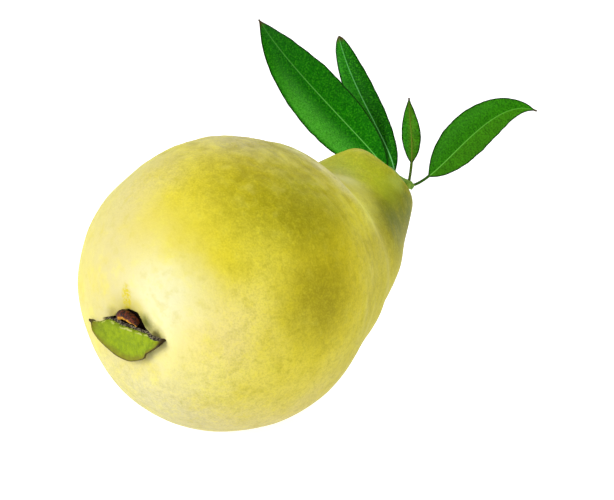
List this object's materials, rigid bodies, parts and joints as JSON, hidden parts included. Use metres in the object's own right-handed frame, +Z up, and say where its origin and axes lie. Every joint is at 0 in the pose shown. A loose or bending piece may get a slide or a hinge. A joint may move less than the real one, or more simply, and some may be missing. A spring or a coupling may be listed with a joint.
{
  "type": "guava",
  "caption": "Whole pear-shaped guava lying on its side, with a curled calyx lobe at the blossom end and a leafy twig stub on its bent neck.",
  "frame": {"origin": "middle of the small flat spot that the fruit rests on", "axes": "+Z up from the resting surface; -Y is the blossom end with the calyx lobe; +Y is the neck with its twig and leaves"},
  "size_m": [0.0854, 0.1702, 0.0965],
  "materials": {
    "guava_skin": "smooth ripe guava skin, yellow with olive mottling and a soft waxy sheen",
    "calyx_green": "matte, slightly leathery green sepal with a dry brown edge",
    "dried_brown": "dry, rough brown remains of the flower",
    "twig_green": "green young bark with brown nodes",
    "leaf_green": "glossy dark green leaf with a light midrib and fine side veins, duller and paler below"
  },
  "bodies": {
    "root": {"fruit": "guava_skin", "calyx_lobe": "calyx_green", "dried_flower": "dried_brown", "twig": "twig_green", "large_leaf": "leaf_green", "rear_leaf": "leaf_green", "young_leaf": "leaf_green", "side_leaf": "leaf_green"}
  },
  "joints": []
}
